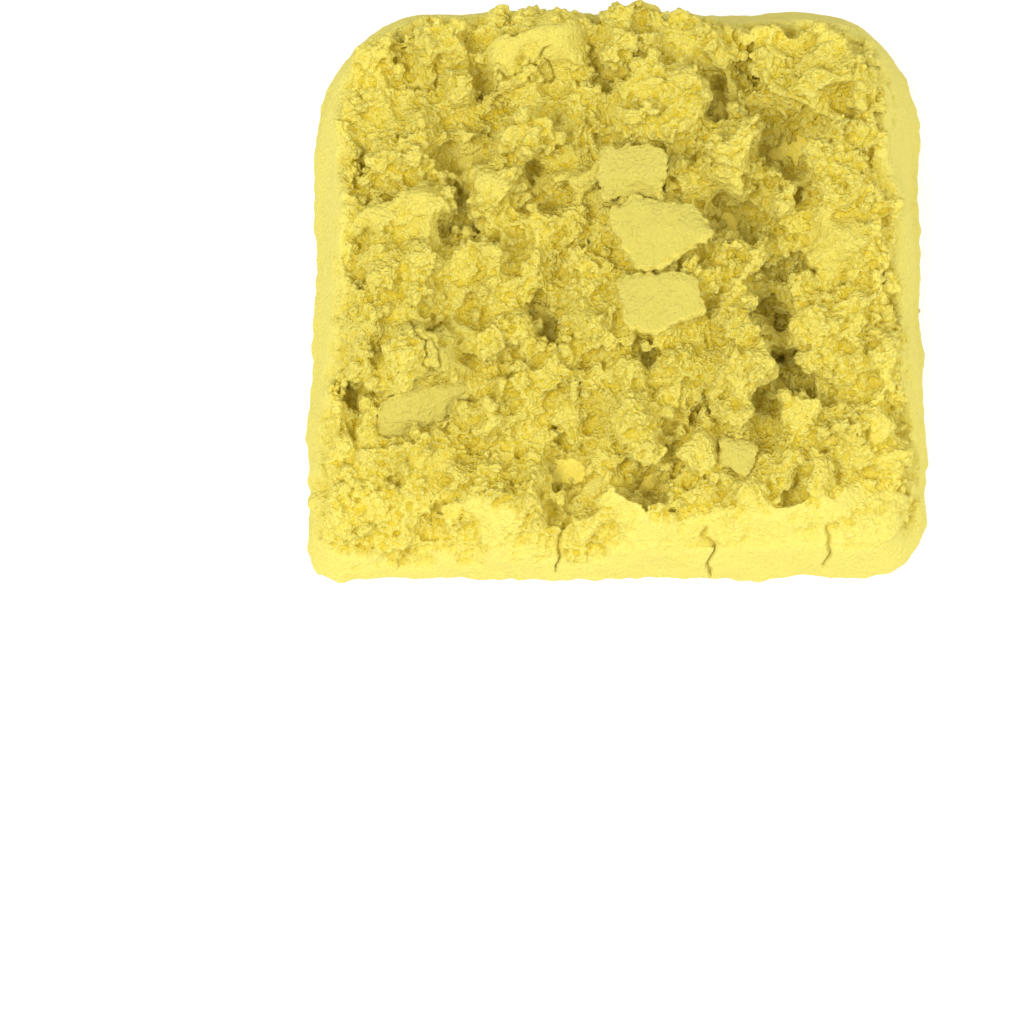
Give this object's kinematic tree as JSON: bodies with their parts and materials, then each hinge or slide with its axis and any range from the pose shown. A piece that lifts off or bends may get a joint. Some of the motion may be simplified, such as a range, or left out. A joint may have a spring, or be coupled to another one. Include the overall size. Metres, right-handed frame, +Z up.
{
  "type": "moulded play sand block",
  "caption": "Turned-out block of yellow mouldable play sand with pressed leaning walls, cracked slabs, a torn crumbly top and loose flakes that lift off.",
  "frame": {"origin": "middle of the flat base", "axes": "+Z up; +Y towards the back, where the block is tallest; +X to the right"},
  "size_m": [0.126, 0.122, 0.0358],
  "materials": {
    "pressed_sand": "smooth pressed fine sand, matte",
    "core_sand": "compacted crumbly sand, matte",
    "torn_sand": "torn crumbly sand, matte",
    "flake_sand": "pressed flake of fine sand, matte"
  },
  "bodies": {
    "block": {"compacted_core": "core_sand", "left_wall": "pressed_sand", "front_left_corner": "pressed_sand", "back_left_corner": "pressed_sand", "back_wall": "pressed_sand", "back_right_corner": "pressed_sand", "right_wall_rear": "pressed_sand", "right_wall_front": "pressed_sand", "front_right_corner": "pressed_sand", "front_right_slab": "pressed_sand", "front_middle_slab": "pressed_sand", "mesa_slab": "pressed_sand", "front_left_slab": "pressed_sand", "front_left_block": "pressed_sand", "back_plate": "torn_sand", "back_mound": "torn_sand", "left_wedge": "torn_sand", "cone_lump": "torn_sand", "large_ridge": "torn_sand", "ridge_mass": "torn_sand", "right_mass": "torn_sand", "right_rear_mass": "torn_sand", "wedge_lump": "torn_sand", "flat_chunk": "torn_sand", "cave_lip": "torn_sand", "spike_block": "torn_sand", "back_left_crest": "torn_sand", "left_rear_mass": "torn_sand", "slab_step": "torn_sand", "bar_lump": "torn_sand", "back_centre_mass": "torn_sand", "under_lip_lumps": "torn_sand", "step_slab": "torn_sand", "crumb_ridge": "torn_sand", "smooth_facet_lump": "torn_sand", "rubble_lump": "torn_sand", "leaf_bed": "torn_sand", "round_crumb_lump": "torn_sand", "flake_bed": "torn_sand", "centre_mass": "torn_sand", "crack_lump": "torn_sand", "valley_lump": "torn_sand", "left_centre_mass": "torn_sand", "left_mass": "torn_sand", "centre_left_mass": "torn_sand", "right_middle_mass": "torn_sand", "crater_spine": "torn_sand", "right_front_mass": "torn_sand", "centre_front_mass": "torn_sand", "lit_ridge": "torn_sand", "crumb_plain": "torn_sand", "front_left_mass": "torn_sand", "front_mound": "torn_sand", "slump_lumps": "torn_sand"},
    "leaf_flake": {"leaf_flake": "flake_sand"},
    "second_flake": {"second_flake": "flake_sand"},
    "curled_plate": {"curled_plate": "flake_sand"},
    "bar_chip": {"bar_chip": "flake_sand"},
    "slab_chip": {"slab_chip": "flake_sand"}
  },
  "joints": [
    {"name": "leaf_flake_lift", "type": "slide", "parent": "block", "child": "leaf_flake", "axis": [0, 0, 1], "range_m": [0, 0.025]},
    {"name": "second_flake_lift", "type": "slide", "parent": "block", "child": "second_flake", "axis": [0, 0, 1], "range_m": [0, 0.025]},
    {"name": "curled_plate_lift", "type": "slide", "parent": "block", "child": "curled_plate", "axis": [0, 0, 1], "range_m": [0, 0.025]},
    {"name": "bar_chip_lift", "type": "slide", "parent": "block", "child": "bar_chip", "axis": [0, 0, 1], "range_m": [0, 0.025]},
    {"name": "slab_chip_lift", "type": "slide", "parent": "block", "child": "slab_chip", "axis": [0, 0, 1], "range_m": [0, 0.025]}
  ]
}
